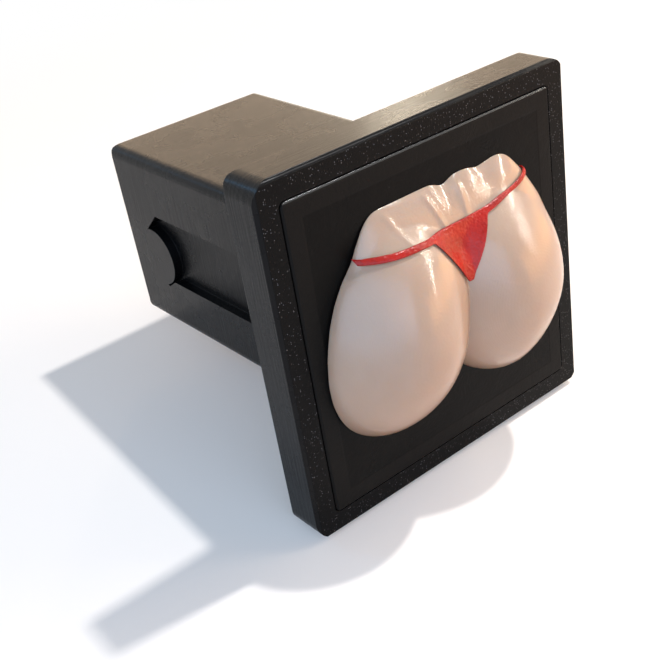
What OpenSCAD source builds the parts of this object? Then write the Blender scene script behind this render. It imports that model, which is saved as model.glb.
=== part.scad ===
// Novelty cover for a square towing receiver.
// A hollow square plug slides into the receiver, its flange closes the mouth,
// and a face panel with a sculpted relief sits in the front of the flange.
// Millimetres. X runs right as seen from the front, Y runs back into the
// receiver, Z is up. The origin is the centre of the plug on the flange back.

/* [Plug] */
// Outside width and height of the square plug
plug_w = 50; // [46:0.5:52]
// Length of the plug behind the flange
plug_len = 89; // [84:1:120]
// Wall of the plug
plug_wall = 5; // [4.5:0.5:7]
// Radius along the four long edges of the plug
plug_r = 3; // [1:0.5:5]
// Small bevel round the rear mouth of the plug
plug_bevel = 0.6; // [0.2:0.1:1]

/* [Side pockets] */
// Depth of the shallow pocket in each side
pocket_depth = 2.5; // [1:0.25:3]
// Top of the pocket, above the plug's middle
pocket_top = 8.8; // [6:0.2:12]
// Bottom of the pocket, below the plug's middle
pocket_bottom = 10.2; // [10:0.2:12]
// Distance from the flange back to the pocket's front end
pocket_start = 12; // [4:1:20]
// Distance from the flange back to the round boss at the pocket's rear end
boss_y = 76; // [60:0.5:78]
// Distance of the boss's centre below the plug's middle
boss_drop = 4.2; // [2:0.2:5]
// Radius of the round boss
boss_r = 8.1; // [7:0.1:9]

/* [Flange] */
// Width and height of the square flange
flange_w = 88; // [80:1:96]
// Thickness of the flange
flange_t = 11; // [9:0.5:16]
// Corner radius of the flange
flange_r = 4.5; // [2:0.5:8]
// Radius along the front and back edges of the flange
flange_edge = 0.8; // [0.3:0.1:1.5]
// Width of the rim round the face panel
rim_w = 5.4; // [4:0.2:8]
// Floor left between the face panel's recess and the plug's bore
floor_t = 3; // [2:0.5:4]

/* [Face panel] */
// Thickness of the panel
panel_t = 3; // [2:0.25:5]
// How far the panel stands out of the rim
panel_proud = 0.4; // [0:0.1:1]
// Gap all round the panel
panel_gap = 0.3; // [0.1:0.05:0.5]
// Corner radius of the panel
panel_r = 1.2; // [0.5:0.1:3]
// Bevel round the panel's front
panel_bevel = 0.4; // [0.2:0.1:0.8]

/* [Left lobe] */
// Height of the left lobe above the panel
left_h = 15.7; // [12:0.1:19]
// Distance of its centre from the middle
left_x = 16.4; // [14:0.1:18]
// Its reach outwards
left_out = 18.6; // [15:0.1:19]
// Its reach towards the cleft
left_in = 20.4; // [18:0.1:21]
// Its reach upwards
left_up = 26.7; // [22:0.1:28]
// Its reach downwards
left_down = 21.8; // [18:0.1:24]
// How far it leans out towards the bottom
left_lean = 0.12; // [0:0.01:0.2]

/* [Right lobe] */
// Height of the right lobe above the panel
right_h = 15.7; // [12:0.1:19]
// Distance of its centre from the middle
right_x = 15; // [14:0.1:18]
// Its reach outwards
right_out = 20.8; // [17:0.1:22]
// Its reach towards the cleft
right_in = 19.4; // [18:0.1:21]
// Its reach upwards
right_up = 24.2; // [22:0.1:28]
// Its reach downwards
right_down = 21.9; // [18:0.1:24]
// How far it leans out towards the bottom
right_lean = 0; // [0:0.01:0.2]

/* [Waist] */
// Height of the lobes' centres on the panel
lobe_z = -3; // [-6:0.5:2]
// Full height of the waist above the panel, low down between the lobes
waist_h = 8.1; // [6:0.1:11]
// Top of the waist on the panel
waist_top = 28.5; // [27:0.1:31]
// Distance over which the waist rises to its full height
waist_rise = 31; // [20:0.5:34]
// How far the waist's middle lies right of the panel's
waist_x = 2; // [-2:0.1:3]
// Half width of the waist at its top
waist_half = 18.8; // [15:0.1:21]
// How strongly the waist widens downwards
waist_flare = 1.9; // [1.2:0.05:2.4]
// Rounding at the waist's sides
waist_side = 8; // [3:0.5:10]
// How far the two folds cut into the waist's top
fold_depth = 1.6; // [0:0.1:2]

/* [Thong] */
// Thickness of the thong on the relief
thong_t = 0.5; // [0.4:0.1:0.8]
// Width of the waistband
band_w = 1.2; // [1:0.1:2.5]
// Height of the waistband on the panel, at the middle
band_z = 19.3; // [17:0.1:22]
// Half width of the triangle at the waistband
tri_half = 8.6; // [6:0.1:10]
// Height of the triangle's tip on the panel
tri_tip = 7.6; // [6:0.2:10]

/* [Hidden] */
$fn = 64;

// How far cutting shapes run past what they cut
over = 1;
// Places along Y
rim_y = -flange_t;
face_y = rim_y - panel_proud;
recess_floor_y = face_y + panel_t;
// Sizes of the plug's bore, the recess and the panel
bore_w = plug_w - 2 * plug_wall;
bore_r = max(plug_r - 1, 0.5);
bore_end_y = recess_floor_y + floor_t;
recess_w = flange_w - 2 * rim_w;
panel_w = recess_w - 2 * panel_gap;
recess_r = panel_r + panel_gap;
// The pocket's corners by the boss, in boss radii from its centre: the slope over
// it ends inside it, and the slit under it runs out just clear of it
slope_start = -0.5;
slope_end = [0.37, 0.86];
slit_start = -0.8;
slit_end = [-0.32, -1.03];
slit_inside = [0, -0.6];

// The relief is a height over the panel. Its mesh is rings round a hub, a few of
// them small, and each ray runs out to where the height falls to nothing.
hub_z = 9;
rays = 112;
spread_rings = 22;
inner_rings = [0.02, 0.05];
// How far the rays crowd towards the cleft between the lobes, from 0 to 1
crowding = 0.62;
reach_near = 8;
reach_far = 52;
reach_steps = 14;
edge_h = 0.12;
// Exponents of the lobes' outline above and below their centres, and of their domed section
lobe_square = 2.15;
left_square = 2.1;
right_square = 1.7;
dome_in = 1.88;
dome_out = 1.62;
// Exponents of the waist's section at its top and sides, and of its widening
rise_pow = 1.5;
side_pow = 2.5;
flare_pow = 0.65;
// Exponent of the blend between lobes and waist
blend = 4;
// The waist fades away between these heights, inside the lobes
waist_fade_low = -14;
waist_fade_high = 10;
waist_widest = 29.2;
// The two folds: how far right of the waist's middle, how wide, how deep for the
// depth above, and where they fade out below the top
folds = [[1, 1.9, 1], [12.4, 2.4, 0.8]];
fold_fade = 9;
// Each lobe as one list
left_lobe = [left_x, left_out, left_in, left_up, left_down, left_lean, left_square, left_h];
right_lobe = [right_x, right_out, right_in, right_up, right_down, right_lean, right_square, right_h];
// The waistband bows and is skewed by these factors of x squared and x cubed,
// and the triangle's tip hangs this far left of the waist's middle
band_bow = 0.0028;
band_skew = 0.00008;
tri_slant = 1.5;
// A strap ends where the relief is this low, and turns square to it over a width
strap_low = 0.5;
strap_turn = 6;
// The thong's mesh: columns along each strap and across the triangle, rows down each
strap_cols = 26;
band_rows = 2;
tri_cols = 14;
tri_rows = 14;
// Exponent of the triangle's narrowing, and its tip's share of the width
tri_curve = 1.1;
tip_share = 0.07;
// The thong lies this far off the relief and bridges hollows this wide to each side;
// slopes are taken over the step
seat = 0.25;
bridge = 1.3;
slope_step = 0.05;

// Smooth step from 0 at a to 1 at b
function ease(a, b, v) = let (s = max(0, min(1, (v - a) / (b - a)))) s * s * (3 - 2 * s);

// Rounded rise from 0 to 1 over a distance
function rounded(d, r, k) = let (s = max(0, min(1, d / r)))
    pow(1 - pow(1 - s, k), 1 / k);

// Height of one lobe, for x measured outwards from the middle
function lobe(p, x, z) =
    let (dz = z - lobe_z)
    let (dx = x - p[0] + p[5] * dz)
    let (k = dz > 0 ? lobe_square : p[6])
    let (u = abs(dx) / (dx > 0 ? p[1] : p[2]))
    let (v = abs(dz) / (dz > 0 ? p[3] : p[4]))
    let (r = pow(pow(u, k) + pow(v, k), 1 / k))
    r >= 1 ? 0 : p[7] * pow(1 - pow(r, dome_in), 1 / dome_out);

// Depth of the folds at a point of the waist, x measured from its middle
function fold(x, z) = fold_depth * ease(waist_top - fold_fade, waist_top, z)
    * max([for (f = folds) f[2] * exp(-pow((x - f[0]) / f[1], 2))]);

// Height of the waist
function waist(x, z) =
    let (dx = x - waist_x)
    let (down = max(0, waist_top - z))
    let (half = min(waist_widest, waist_half + waist_flare * pow(down, flare_pow)))
    let (side = rounded(half - abs(dx), waist_side, side_pow))
    let (top = rounded(waist_top - fold(dx, z) - z, waist_rise, rise_pow))
    waist_h * side * top * ease(waist_fade_low, waist_fade_high, z);

// Height of the whole relief above the panel
function relief(x, z) =
    let (both = max(lobe(left_lobe, -x, z), lobe(right_lobe, x, z)))
    pow(pow(both, blend) + pow(waist(x, z), blend), 1 / blend);

// Distance from the hub to the relief's edge along an angle, by halving
function reach(a, near = reach_near, far = reach_far, n = reach_steps) =
    let (mid = (near + far) / 2)
    n == 0 ? mid
    : relief(mid * cos(a), hub_z + mid * sin(a)) > edge_h ? reach(a, mid, far, n - 1)
    : reach(a, near, mid, n - 1);

function band_centre(x) = band_z + band_bow * pow(x - waist_x, 2) + band_skew * pow(x, 3);

module rounded_square(w, r) {
    square([w, w - 2 * r], center = true);
    square([w - 2 * r, w], center = true);
    for (x = [-1, 1], z = [-1, 1])
        translate([x * (w / 2 - r), z * (w / 2 - r)])
            circle(r);
}

// A plate from y0 back to y1, upright, with rounded corners
module plate(w, r, y0, y1) {
    translate([0, y1, 0])
        rotate([90, 0, 0])
            linear_extrude(y1 - y0)
                rounded_square(w, r);
}

// A bar right across, whose section has bevels along the front and back edges
module bevelled_bar(w, y0, y1, front, back) {
    half = w / 2;
    rotate([90, 0, 90])
        linear_extrude(w + 2 * over, center = true)
            polygon([[y0, front - half], [y0 + front, -half], [y1 - back, -half], [y1, back - half],
                [y1, half - back], [y1 - back, half], [y0 + front, half], [y0, half - front]]);
}

// A plate with bevels along its front and back edges
module bevelled_plate(w, r, y0, y1, front, back) {
    intersection() {
        plate(w, r, y0, y1);
        bevelled_bar(w, y0, y1, front, back);
        rotate([0, 90, 0])
            bevelled_bar(w, y0, y1, front, back);
    }
}

// Outline of a side pocket: a slot that ends round a boss
module pocket_outline() {
    boss = [boss_y, -boss_drop];
    difference() {
        polygon([[pocket_start, pocket_top], [boss_y + slope_start * boss_r, pocket_top],
            boss + boss_r * slope_end, boss + boss_r * slit_inside, boss + boss_r * slit_end,
            [boss_y + slit_start * boss_r, -pocket_bottom], [pocket_start, -pocket_bottom]]);
        translate(boss)
            circle(boss_r);
    }
}

module side_pocket(side) {
    depth = pocket_depth + over;
    translate([side * (plug_w / 2 + over - depth / 2), 0, 0])
        rotate([90, 0, 90])
            linear_extrude(depth, center = true)
                pocket_outline();
}

module receiver_plug() {
    color("#1b1b1d")
        difference() {
            union() {
                bevelled_plate(flange_w, flange_r, rim_y, 0, flange_edge, flange_edge);
                bevelled_plate(plug_w, plug_r, -over, plug_len, plug_bevel, plug_bevel);
            }
            plate(bore_w, bore_r, bore_end_y, plug_len + over);
            plate(recess_w, recess_r, rim_y - over, recess_floor_y);
            side_pocket(-1);
            side_pocket(1);
        }
}

module face_panel() {
    color("#232326")
        bevelled_plate(panel_w, panel_r, face_y, recess_floor_y, panel_bevel, 0);
}

// The relief as one closed mesh
module figure_relief() {
    angles = [for (i = [0:rays - 1])
        let (turn = 360 * i / rays)
        turn - 90 - crowding * sin(turn) * 180 / PI];
    edge = [for (a = angles) reach(a)];
    ring_at = concat(inner_rings, [for (j = [1:spread_rings]) 1 - pow(1 - j / spread_rings, 2)]);
    rings = len(ring_at);
    hub = [[0, face_y - relief(0, hub_z), hub_z]];
    surface = [for (j = [0:rings - 1], i = [0:rays - 1])
        let (r = ring_at[j] * edge[i])
        let (x = r * cos(angles[i]))
        let (z = hub_z + r * sin(angles[i]))
        [x, j == rings - 1 ? face_y : face_y - relief(x, z), z]];
    top = [for (i = [0:rays - 1]) [0, 1 + i, 1 + (i + 1) % rays]];
    skin = [for (j = [0:rings - 2], i = [0:rays - 1])
        let (a = 1 + j * rays + i)
        let (b = 1 + j * rays + (i + 1) % rays)
        each [[a, a + rays, b + rays], [a, b + rays, b]]];
    last = 1 + (rings - 1) * rays;
    base = [[for (i = [rays - 1:-1:0]) last + i]];
    color("#e9dccf")
        polyhedron(concat(hub, surface), concat(top, skin, base), convexity = 6);
}

// Where the waistband runs out at one side, by halving
function strap_end(side, near = tri_half, far = reach_far / 2, n = reach_steps) =
    let (mid = (near + far) / 2)
    let (x = waist_x + side * mid)
    n == 0 ? mid
    : relief(x, band_centre(x)) > strap_low ? strap_end(side, mid, far, n - 1)
    : strap_end(side, near, mid, n - 1);

// Share of a strap in the thong: 0 over the triangle, 1 further out
function strap_share(x) = ease(tri_half, tri_half + strap_turn, abs(x - waist_x));

// How far the triangle stands off the relief where it bridges a hollow
function bridged(x, z) = (1 - strap_share(x))
    * max(0, (relief(x - bridge, z) + relief(x + bridge, z)) / 2 - relief(x, z));

// A point of the thong, lifted. On the straps it is lifted square to the surface.
function on_relief(x, z, lift) =
    let (gx = (relief(x + slope_step, z) - relief(x - slope_step, z)) / (2 * slope_step))
    let (gz = (relief(x, z + slope_step) - relief(x, z - slope_step)) / (2 * slope_step))
    let (out = [-strap_share(x) * gx, -1, -strap_share(x) * gz])
    [x, face_y - relief(x, z) - bridged(x, z), z] + lift * out / norm(out);

// The thong as one closed sheet: a band across, and rows of a triangle below it
module thong() {
    ends = [strap_end(-1), strap_end(1)];
    fans = [for (i = [0:strap_cols]) 1 - pow(1 - i / strap_cols, 2)];
    left = [for (i = [strap_cols:-1:1]) waist_x - tri_half - (ends[0] - tri_half) * fans[i]];
    middle = [for (i = [0:tri_cols]) waist_x + tri_half * (2 * i / tri_cols - 1)];
    right = [for (i = [1:strap_cols]) waist_x + tri_half + (ends[1] - tri_half) * fans[i]];
    xs = concat(left, middle, right);
    cols = len(xs) - 1;
    first = strap_cols;
    last = strap_cols + tri_cols;
    deep = band_z - band_w / 2 - tri_tip;
    band = [for (r = [0:band_rows], x = xs) [x, band_centre(x) + band_w * (0.5 - r / band_rows)]];
    triangle = [for (r = [1:tri_rows], i = [0:tri_cols])
        let (share = 1 - r / tri_rows)
        let (narrow = tip_share + (1 - tip_share) * pow(share, tri_curve))
        let (x = waist_x - tri_slant * (1 - share) + (middle[i] - waist_x) * narrow)
        [x, band_centre(x) - band_w / 2 - deep * (1 - share)]];
    spots = concat(band, triangle);
    count = len(spots);
    points = [for (lift = [seat, seat + thong_t], p = spots) on_relief(p[0], p[1], lift)];
    band_cells = [for (r = [0:band_rows - 1], i = [0:cols - 1])
        let (a = r * (cols + 1) + i)
        [a, a + 1, a + cols + 2, a + cols + 1]];
    start = (band_rows + 1) * (cols + 1);
    join = [for (i = [0:tri_cols - 1])
        let (a = band_rows * (cols + 1) + first + i)
        [a, a + 1, start + i + 1, start + i]];
    tri_cells = [for (r = [0:tri_rows - 2], i = [0:tri_cols - 1])
        let (a = start + r * (tri_cols + 1) + i)
        [a, a + 1, a + tri_cols + 2, a + tri_cols + 1]];
    cells = concat(band_cells, join, tri_cells);
    low = band_rows * (cols + 1);
    rim = concat([for (i = [0:cols]) i],
        [for (r = [1:band_rows]) r * (cols + 1) + cols],
        [for (i = [cols - 1:-1:last]) low + i],
        [for (r = [0:tri_rows - 1]) start + r * (tri_cols + 1) + tri_cols],
        [for (i = [tri_cols - 1:-1:0]) start + (tri_rows - 1) * (tri_cols + 1) + i],
        [for (r = [tri_rows - 2:-1:0]) start + r * (tri_cols + 1)],
        [for (i = [first:-1:0]) low + i],
        [for (r = [band_rows - 1:-1:1]) r * (cols + 1)]);
    n = len(rim);
    under = [for (c = cells) each [[c[0], c[1], c[2]], [c[0], c[2], c[3]]]];
    over_skin = [for (c = cells)
        let (d = c + [count, count, count, count])
        each [[d[2], d[1], d[0]], [d[3], d[2], d[0]]]];
    walls = [for (i = [0:n - 1])
        let (a = rim[i])
        let (b = rim[(i + 1) % n])
        each [[a, a + count, b + count], [a, b + count, b]]];
    color("#d8281f")
        polyhedron(points, concat(under, over_skin, walls), convexity = 8);
}

receiver_plug();
face_panel();
figure_relief();
thong();
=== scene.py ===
import math

import bpy
from mathutils import Matrix, Vector


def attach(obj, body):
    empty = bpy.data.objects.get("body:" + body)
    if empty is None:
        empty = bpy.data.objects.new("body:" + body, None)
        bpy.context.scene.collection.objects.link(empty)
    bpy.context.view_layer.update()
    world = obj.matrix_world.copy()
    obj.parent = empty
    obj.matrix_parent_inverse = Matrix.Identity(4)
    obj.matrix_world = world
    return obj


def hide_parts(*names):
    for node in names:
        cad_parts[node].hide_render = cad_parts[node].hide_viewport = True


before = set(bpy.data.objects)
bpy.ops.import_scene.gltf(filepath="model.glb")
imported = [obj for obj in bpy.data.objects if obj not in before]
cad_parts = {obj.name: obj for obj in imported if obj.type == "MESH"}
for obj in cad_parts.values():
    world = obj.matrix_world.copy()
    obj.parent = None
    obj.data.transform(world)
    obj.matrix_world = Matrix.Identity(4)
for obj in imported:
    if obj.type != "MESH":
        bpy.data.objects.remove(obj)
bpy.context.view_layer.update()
scene = bpy.context.scene
mm = 0.001
weldWithin = 0.002 * mm


# selecting and finishing

def pickOnly(piece):
    bpy.ops.object.select_all(action="DESELECT")
    piece.select_set(True)
    bpy.context.view_layer.objects.active = piece


def copyOfNode(node, name, flatAngle=0.5):
    # a welded copy of a CAD node, with its flat faces made whole again (0 leaves them as they are)
    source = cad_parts[node]
    piece = bpy.data.objects.new(name, source.data.copy())
    scene.collection.objects.link(piece)
    piece.data.materials.clear()
    pickOnly(piece)
    bpy.ops.object.mode_set(mode="EDIT")
    bpy.ops.mesh.select_all(action="SELECT")
    bpy.ops.mesh.remove_doubles(threshold=weldWithin)
    if flatAngle:
        bpy.ops.mesh.dissolve_limited(angle_limit=math.radians(flatAngle))
    bpy.ops.object.mode_set(mode="OBJECT")
    return piece


def applyAll(piece):
    pickOnly(piece)
    for modifier in list(piece.modifiers):
        bpy.ops.object.modifier_apply(modifier=modifier.name)


def softenEdges(piece, width, segments=3, angle=25):
    bevel = piece.modifiers.new("softEdges", "BEVEL")
    bevel.width = width
    bevel.segments = segments
    bevel.limit_method = "ANGLE"
    bevel.angle_limit = math.radians(angle)
    applyAll(piece)


def finishPiece(piece, node, material, smoothAngle=35, flatFaces=False):
    piece.data.materials.clear()
    piece.data.materials.append(material)
    pickOnly(piece)
    bpy.ops.object.shade_smooth_by_angle(angle=math.radians(smoothAngle))
    if flatFaces:
        level = piece.modifiers.new("flatFaces", "WEIGHTED_NORMAL")
        level.keep_sharp = True
        applyAll(piece)
    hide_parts(node)
    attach(piece, "root")


# shader maths

class Field:
    # a socket that adds Math nodes when it is used in sums
    def __init__(self, graph, socket):
        self.graph = graph
        self.socket = socket

    def math(self, operation, other=None):
        sockets = {0: self} if other is None else {0: self, 1: other}
        return self.graph.node("ShaderNodeMath", {"operation": operation}, sockets).out("Value")

    def __add__(self, other): return self.math("ADD", other)
    def __radd__(self, other): return self.math("ADD", other)
    def __sub__(self, other): return self.math("SUBTRACT", other)
    def __rsub__(self, other): return self.graph.value(other).math("SUBTRACT", self)
    def __mul__(self, other): return self.math("MULTIPLY", other)
    def __rmul__(self, other): return self.math("MULTIPLY", other)
    def __gt__(self, other): return self.math("GREATER_THAN", other)
    def __lt__(self, other): return self.math("LESS_THAN", other)

    def sine(self): return self.math("SINE")
    def power(self, n): return self.math("POWER", n)
    def size(self): return self.math("ABSOLUTE")
    def larger(self, other): return self.math("MAXIMUM", other)

    def ramp(self, low, high, toLow=0.0, toHigh=1.0):
        return self.graph.node("ShaderNodeMapRange", {"interpolation_type": "SMOOTHSTEP"},
                               {"Value": self, "From Min": low, "From Max": high,
                                "To Min": toLow, "To Max": toHigh}).out("Result")


class Made:
    # a node that was just made, whose outputs are asked for by name or number
    def __init__(self, graph, node):
        self.graph = graph
        self.raw = node

    def out(self, name):
        return Field(self.graph, self.raw.outputs[name])


class Graph:
    # a node tree, with the one method that makes any node in it
    def __init__(self, tree):
        self.tree = tree

    def node(self, kind, settings, sockets):
        made = self.tree.nodes.new(kind)
        for key, value in settings.items():
            setattr(made, key, value)
        for key, value in sockets.items():
            self.feed(made, key, value)
        return Made(self, made)

    def feed(self, node, key, value):
        # a field is linked, and a colour gets its fourth number
        socket = node.inputs[key]
        if isinstance(value, Field):
            self.tree.links.new(value.socket, socket)
        elif socket.type == "RGBA":
            socket.default_value = (*value, 1)
        else:
            socket.default_value = value

    def value(self, number):
        return self.node("ShaderNodeMath", {"operation": "ADD"}, {0: number, 1: 0.0}).out("Value")

    def mix(self, amount, first, second):
        return self.node("ShaderNodeMix", {"data_type": "RGBA"}, {0: amount, 6: first, 7: second}).out(2)

    def whiteRays(self):
        # 1 where the camera, a reflection or a clear part looks, 0 where light is gathered
        path = self.node("ShaderNodeLightPath", {}, {})
        camera, glossy, clear = (path.out(f"Is {kind} Ray") for kind in ("Camera", "Glossy", "Transmission"))
        return camera.larger(glossy).larger(clear)


middling = (0.3, 0.7)  # most of a noise lies between these


class Finish(Graph):
    # one material, whose patterns are measured in metres of the object
    def __init__(self, name, **shader):
        self.material = bpy.data.materials.new(name)
        self.material.use_nodes = True
        super().__init__(self.material.node_tree)
        self.shader = self.tree.nodes["Principled BSDF"]
        self.set(**shader)
        self.place = self.node("ShaderNodeTexCoord", {}, {}).out("Object")
        parts = self.node("ShaderNodeSeparateXYZ", {}, {0: self.place})
        self.x, self.y, self.z = (parts.out(axis) for axis in "XYZ")

    def set(self, **values):
        for name, value in values.items():
            self.feed(self.shader, name.replace("_", " "), value)

    def noise(self, scale, detail, roughness, stretch=(1, 1, 1), distortion=0.0):
        # each noise in the dictionaries below holds these values, in this order
        spot = self.node("ShaderNodeMapping", {}, {"Vector": self.place, "Scale": stretch}).out("Vector")
        sockets = {"Vector": spot, "Scale": scale, "Detail": detail, "Roughness": roughness,
                   "Distortion": distortion}
        return self.node("ShaderNodeTexNoise", {}, sockets).out("Fac")

    def grains(self, scale):
        # cells of about 1 / scale metres
        return self.node("ShaderNodeTexVoronoi", {}, {"Vector": self.place, "Scale": scale})

    def dots(self, grains, flat, rim):
        # 1 in the middle of each grain, and 0 from its rim on
        return grains.out("Distance").ramp(flat, rim, 1.0, 0.0)

    def rings(self, spacing):
        # the printed layers, parallel to the flange
        return (self.y * (math.tau / (spacing * mm))).sine()

    def bump(self, height):
        # the height is in mm
        return self.node("ShaderNodeBump", {}, {"Height": height, "Distance": mm}).out("Normal")


# camera and light

photo = {
    "size": 672,  # pixels
    "sensor": 36,  # mm
    "focal": 1108.3,  # pixels
    "centre": (378.3, 347.9),  # pixels
    "eye": (-144.45, -180.05, 121.54),  # mm
    "ahead": (0.5098, 0.6920, -0.5112),
    "up": (0.4195, 0.3188, 0.8499),
    "clip": 0.01,  # metres
}


def addCamera():
    data = bpy.data.cameras.new("photoCamera")
    data.sensor_width = photo["sensor"]
    data.lens = photo["focal"] * photo["sensor"] / photo["size"]
    half = photo["size"] / 2
    data.shift_x = (half - photo["centre"][0]) / photo["size"]
    data.shift_y = (photo["centre"][1] - half) / photo["size"]
    data.clip_start = photo["clip"]
    camera = bpy.data.objects.new("photoCamera", data)
    scene.collection.objects.link(camera)
    ahead = Vector(photo["ahead"]).normalized()
    right = ahead.cross(Vector(photo["up"])).normalized()
    up = right.cross(ahead)
    turn = Matrix((right, up, -ahead)).transposed().to_4x4()
    camera.matrix_world = Matrix.Translation(Vector(photo["eye"]) * mm) @ turn
    scene.camera = camera


lamps = {
    # name: place and target in mm, power in watts, width and height in mm, colour
    "skyWindow": ((412, -66, 800), (0, 0, 0), 5.5, (36, 36), (0.98, 0.985, 1.0)),
    "stripWindow": ((282, -140, 190), (0, -12, 8), 0.72, (4, 320), (1.0, 0.90, 0.76)),
    "backWindow": ((420, 520, 226), (0, 20, 40), 0.38, (40, 260), (1.0, 0.90, 0.72)),
    "backWall": ((420, 620, 200), (0, 20, 30), 1.3, (700, 320), (1.0, 0.62, 0.27)),
    "coolLeft": ((-380, -400, 210), (0, -12, 0), 6.5, (1500, 640), (0.50, 0.70, 1.0)),
    "blueBack": ((-315, 483, 371), (0, 20, 30), 0.40, (130, 130), (0.18, 0.55, 1.0)),
    "warmRight": ((560, -340, 10), (0, -12, 0), 2.6, (760, 300), (1.0, 0.45, 0.12)),
}
leaning = {"stripWindow": ((268, -280, 116), (296, 0, 264))}  # mm, its two ends
upright = ((0, 0, 0), (0, 0, 1))


def addLamps():
    for name, (place, target, power, size, colour) in lamps.items():
        data = bpy.data.lights.new(name, "AREA")
        data.shape = "RECTANGLE"
        data.energy = power
        data.size, data.size_y = (side * mm for side in size)
        data.color = colour
        lamp = bpy.data.objects.new(name, data)
        scene.collection.objects.link(lamp)
        away = (Vector(place) - Vector(target)).normalized()
        low, high = leaning.get(name, upright)
        along = Vector(high) - Vector(low)
        across = along.cross(away).normalized()
        turn = Matrix((across, away.cross(across), away)).transposed().to_4x4()
        lamp.matrix_world = Matrix.Translation(Vector(place) * mm) @ turn


studio = {
    # colour and strength of the light on the object, and of what the camera and reflections see
    "lit": ((0.95, 0.97, 1.0), 0.20),
    "seen": ((1, 1, 1), 1.0),
}


def addWorld():
    world = bpy.data.worlds.new("studio")
    scene.world = world
    world.use_nodes = True
    graph = Graph(world.node_tree)
    looks = {0: graph.whiteRays()}
    for slot, look in ((1, "lit"), (2, "seen")):
        colour, strength = studio[look]
        sockets = {"Color": colour, "Strength": strength}
        looks[slot] = graph.node("ShaderNodeBackground", {}, sockets).out("Background")
    pick = graph.node("ShaderNodeMixShader", {}, looks).out("Shader")
    graph.feed(graph.tree.nodes["World Output"], "Surface", pick)


floorLook = {
    "width": 6.0,  # metres
    "lit": (0.72, 0.50, 0.34),  # the floor's colour as light for the object
    "seen": (1.0, 0.925, 0.85),  # and as it is seen
    "glow": 0.12,  # share of plain white in what is seen near the part
    "near": 0.17,  # metres from the middle, where the floor starts to turn plain white
    "far": 0.42,
    "slope": 0.08,  # it rises towards the plug's rear, which fits the shadow in the photo
    "under": 44.1,  # mm below the middle, at the flange's back face
}


def addFloor():
    bpy.ops.object.select_all(action="DESELECT")
    bpy.ops.mesh.primitive_plane_add(size=floorLook["width"], location=(0, 0, -floorLook["under"] * mm),
                                     rotation=(math.atan(floorLook["slope"]), 0, 0))
    floor = bpy.context.active_object
    floor.name = "floor"
    f = Finish("paleFloor", Roughness=1.0, Specular_IOR_Level=0.0)
    seen = f.whiteRays()
    f.set(Base_Color=f.mix(seen, floorLook["lit"], floorLook["seen"]))
    away = (f.x * f.x + f.y * f.y).power(0.5)
    white = seen * away.ramp(floorLook["near"], floorLook["far"], floorLook["glow"], 1.0)
    plain = Field(f, f.shader.outputs["BSDF"])
    glow = f.node("ShaderNodeEmission", {}, {}).out("Emission")
    blend = f.node("ShaderNodeMixShader", {}, {0: white, 1: plain, 2: glow}).out("Shader")
    f.feed(f.tree.nodes["Material Output"], "Surface", blend)
    floor.data.materials.append(f.material)


# plug and flange

plug = {
    "softEdge": 0.25,  # mm
    "colour": (0.0036, 0.0036, 0.0040),
    "worn": (0.0068, 0.0062, 0.0058),
    "cloud": (70, 3.0, 0.6),
    "wornWithin": (0.35, 0.75),
    "roughness": (0.24, 0.31),
    "coat": 0.09,
    # behind the rim's front: fine layer lines and uneven bands
    "layer": 0.4,  # mm between layer lines
    "lineDepth": 0.028,  # mm
    "lineShare": 0.5,
    "bandShare": 2.6,
    "bands": (700, 3.0, 0.6, (0.06, 1.7, 0.06)),
    # the rim's front was printed on a textured bed; its darker colour is painted shade, and its pale specks
    # are painted glints
    "rimFront": -10.93,  # mm, it lies before this
    # painted shade: the rim's front is coloured darker than the rest of the plug
    "rimPaintedShade": (0.0015, 0.0015, 0.0016),
    "rimShadeShare": 0.8,
    "rimRoughness": 0.34,
    "bedDepth": 0.09,  # mm
    "gritShare": 0.5,
    "grit": (2600, 2.0, 0.7),
    "grains": 1150,
    "grainShape": (0.0, 0.30),  # where a grain starts to fade, and where it ends
    "glints": (900, 2.0, 0.5),
    "glintWithin": (0.5, 0.66),
    # painted glints: pale specks on the rim's front
    "paintedGlintColour": (0.2, 0.2, 0.21),
    "specks": 2400,
    "speckShape": (0.10, 0.30),
    "speckless": 0.84,  # share of the grains that stay dark
}


def blackPrintFinish():
    f = Finish("blackPrint", Specular_IOR_Level=0.08, Coat_Roughness=0.16)
    front = f.y < plug["rimFront"] * mm
    back = 1 - front
    layers = f.rings(plug["layer"]) * plug["lineShare"] + f.noise(*plug["bands"]) * plug["bandShare"]
    grains = f.dots(f.grains(plug["grains"]), *plug["grainShape"])
    bed = f.noise(*plug["grit"]) * plug["gritShare"] + grains
    height = layers * back * plug["lineDepth"] + bed * front * plug["bedDepth"]
    cloud = f.noise(*plug["cloud"])
    body = f.mix(cloud.ramp(*plug["wornWithin"]), plug["colour"], plug["worn"])
    # painted glints: a share of the grains on the rim's front gets a pale colour
    spots = f.grains(plug["specks"])
    chance = f.node("ShaderNodeSeparateColor", {}, {0: spots.out("Color")}).out("Red")
    specks = f.dots(spots, *plug["speckShape"]) * (chance > plug["speckless"]) * front
    glints = f.noise(*plug["glints"]).ramp(*plug["glintWithin"])
    # painted shade: the rim's front is mixed towards a darker colour
    rim = f.mix(front * plug["rimShadeShare"], body, plug["rimPaintedShade"])
    f.set(Normal=f.bump(height),
          Roughness=cloud.ramp(*middling, *plug["roughness"]) * back + front * plug["rimRoughness"],
          Coat_Weight=front * grains * glints + back * plug["coat"],
          Base_Color=f.mix(specks, rim, plug["paintedGlintColour"]))
    return f.material


def addPlug():
    piece = copyOfNode("receiver_plug", "plugBody")
    softenEdges(piece, plug["softEdge"] * mm)
    finishPiece(piece, "receiver_plug", blackPrintFinish(), flatFaces=True)


# face panel

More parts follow.
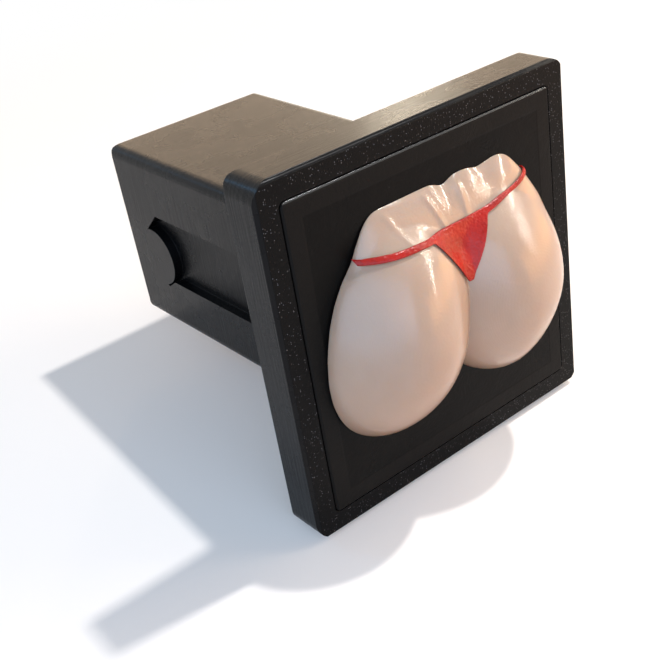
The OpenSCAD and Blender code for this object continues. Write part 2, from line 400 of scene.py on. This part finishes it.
panel = {
    "softEdge": 0.28,  # mm
    "colour": (0.0032, 0.0030, 0.0028),
    "border": (0.0062, 0.0057, 0.0052),
    "borderAt": 34.0,  # mm from the middle, where the paler border band starts
    "borderFade": 0.3,  # mm on either side of that
    "borderStep": 0.04,  # mm
    "borderRougher": 0.06,
    "topEdge": 37.98,  # mm up, where the smooth top edge starts
    "cloud": (60, 3.0, 0.6),
    "roughness": (0.26, 0.36),
    "swirls": (120, 5.0, 0.7, (1, 1, 1), 3.0),
    "swirlDepth": 0.10,  # mm
    "fine": (1500, 2.0, 0.6),
    "fineDepth": 0.02,  # mm
    # shining dust in patches
    "dust": 700,
    "dustShape": (0.0, 0.14),
    "patches": (220, 2.0, 0.5),
    "patchWithin": (0.52, 0.62),
}


def satinPanelFinish():
    f = Finish("satinPanel", Specular_IOR_Level=0.07, Coat_Roughness=0.22)
    inner, outer = ((panel["borderAt"] + side * panel["borderFade"]) * mm for side in (-1, 1))
    border = f.x.size().larger(f.z.size()).ramp(inner, outer)
    height = f.noise(*panel["swirls"]) * panel["swirlDepth"] + f.noise(*panel["fine"]) * panel["fineDepth"]
    dust = f.dots(f.grains(panel["dust"]), *panel["dustShape"])
    dust = dust * f.noise(*panel["patches"]).ramp(*panel["patchWithin"])
    rough = f.noise(*panel["cloud"]).ramp(*middling, *panel["roughness"])
    f.set(Normal=f.bump(height + border * panel["borderStep"]),
          Roughness=rough + border * panel["borderRougher"],
          Coat_Weight=dust.larger(f.z > panel["topEdge"] * mm),
          Base_Color=f.mix(border, panel["colour"], panel["border"]))
    return f.material


def addPanel():
    piece = copyOfNode("face_panel", "facePanel")
    softenEdges(piece, panel["softEdge"] * mm)
    finishPiece(piece, "face_panel", satinPanelFinish(), flatFaces=True)


# figure relief

quadLimits = {"face": 60, "shape": 120}  # degrees


def roundOff(piece, levels):
    # the rings of triangles become quads again, and are made finer and smooth
    pickOnly(piece)
    bpy.ops.object.mode_set(mode="EDIT")
    bpy.ops.mesh.select_all(action="SELECT")
    bpy.ops.mesh.tris_convert_to_quads(face_threshold=math.radians(quadLimits["face"]),
                                       shape_threshold=math.radians(quadLimits["shape"]))
    bpy.ops.object.mode_set(mode="OBJECT")
    finer = piece.modifiers.new("finer", "SUBSURF")
    finer.levels = finer.render_levels = levels
    applyAll(piece)


figure = {
    "finer": 2,
    "smooth": 60,  # degrees
    "colour": (0.44, 0.31, 0.225),
    "shade": (0.42, 0.285, 0.20),
    "shades": (45, 3.0, 0.6),
    "cloud": (120, 2.0, 0.5),
    "roughness": (0.155, 0.18),
    "layer": 0.3,  # mm between layer lines
    "lineDepth": 0.0025,  # mm
    "waver": (330, 3.0, 0.65, (1, 1.6, 1)),
    "waverDepth": 0.02,  # mm
    "fine": (1500, 0.5, 0.5),
    "fineDepth": 0.022,  # mm
    # each soft ripple above the band, in mm: place at the waist's top and at the band, width, height
    "ripples": [(-15.0, -12.0, 0.8, 0.2), (-3.5, -0.8, 0.8, 0.2), (6.2, 6.2, 0.8, 0.2)],
    "waistTop": 27.5,  # mm
    "band": 20.0,  # mm
    "bandFade": 3,  # mm below the band, where the ripples fade out
    "panelFace": -11.4,  # mm
    "panelFade": (0.3, 1.8),  # mm over the panel, where they start and where they are whole
}


def bonePlasticFinish():
    # the highlight is stretched across the layers into thin upright lights
    f = Finish("bonePlastic", Specular_IOR_Level=0.55, Anisotropic=1.0, Anisotropic_Rotation=0.25,
               Coat_Weight=0.12, Coat_Roughness=0.2, Subsurface_Weight=0.35,
               Subsurface_Scale=3.0 * mm, Subsurface_Radius=(1.0, 0.45, 0.22))
    layers = f.rings(figure["layer"]) * figure["lineDepth"]
    waver = f.noise(*figure["waver"]) * figure["waverDepth"]
    fine = f.noise(*figure["fine"]) * figure["fineDepth"]
    shade = f.noise(*figure["shades"]).ramp(*middling)
    f.set(Normal=f.bump(layers + waver + fine),
          Roughness=f.noise(*figure["cloud"]).ramp(*middling, *figure["roughness"]),
          Base_Color=f.mix(shade, figure["colour"], figure["shade"]))
    return f.material


def eased(value, low, high):
    share = min(max((value - low) / (high - low), 0.0), 1.0)
    return share * share * (3 - 2 * share)


def rippleWaist(piece):
    for vertex in piece.data.vertices:
        x, y, z = (part / mm for part in vertex.co)
        overBand = eased(z, figure["band"] - figure["bandFade"], figure["band"])
        share = overBand * eased(figure["panelFace"] - y, *figure["panelFade"])
        if share == 0:
            continue
        along = (figure["waistTop"] - z) / (figure["waistTop"] - figure["band"])
        push = 0
        for top, band, width, height in figure["ripples"]:
            middle = top + (band - top) * along
            push += height * math.exp(-((x - middle) / width) ** 2)
        vertex.co.y -= push * share * mm


def addFigure():
    piece = copyOfNode("figure_relief", "figureRelief", 0)
    roundOff(piece, figure["finer"])
    rippleWaist(piece)
    finishPiece(piece, "figure_relief", bonePlasticFinish(), figure["smooth"])


# thong

thong = {
    "finer": 1,
    "smooth": 50,  # degrees
    "colour": (0.42, 0.016, 0.010),
    "deep": (0.31, 0.009, 0.007),
    "depths": (220, 2.0, 0.5),
    "cloud": (700, 2.0, 0.5),
    "cloudWithin": (0.35, 0.65),
    "roughness": (0.22, 0.36),
    "sparkles": 1400,
    "sparkleDepth": 0.10,  # mm
    "fine": (2200, 2.0, 0.6),
    "fineDepth": 0.03,  # mm
}


def redPlasticFinish():
    f = Finish("redPlastic", Specular_IOR_Level=0.2, Coat_Weight=0.1, Coat_Roughness=0.12)
    sparkle = f.grains(thong["sparkles"]).out("Distance") * thong["sparkleDepth"]
    fine = f.noise(*thong["fine"]) * thong["fineDepth"]
    deep = f.noise(*thong["depths"]).ramp(*middling)
    f.set(Normal=f.bump(sparkle + fine),
          Roughness=f.noise(*thong["cloud"]).ramp(*thong["cloudWithin"], *thong["roughness"]),
          Base_Color=f.mix(deep, thong["colour"], thong["deep"]))
    return f.material


def addThong():
    piece = copyOfNode("thong", "thongPiece", 0)
    roundOff(piece, thong["finer"])
    finishPiece(piece, "thong", redPlasticFinish(), thong["smooth"])


print("camera and light")
addCamera()
addLamps()
addWorld()
addFloor()
print("plug and flange")
addPlug()
print("face panel")
addPanel()
print("figure relief")
addFigure()
print("thong")
addThong()

scene.view_settings.view_transform = "Standard"
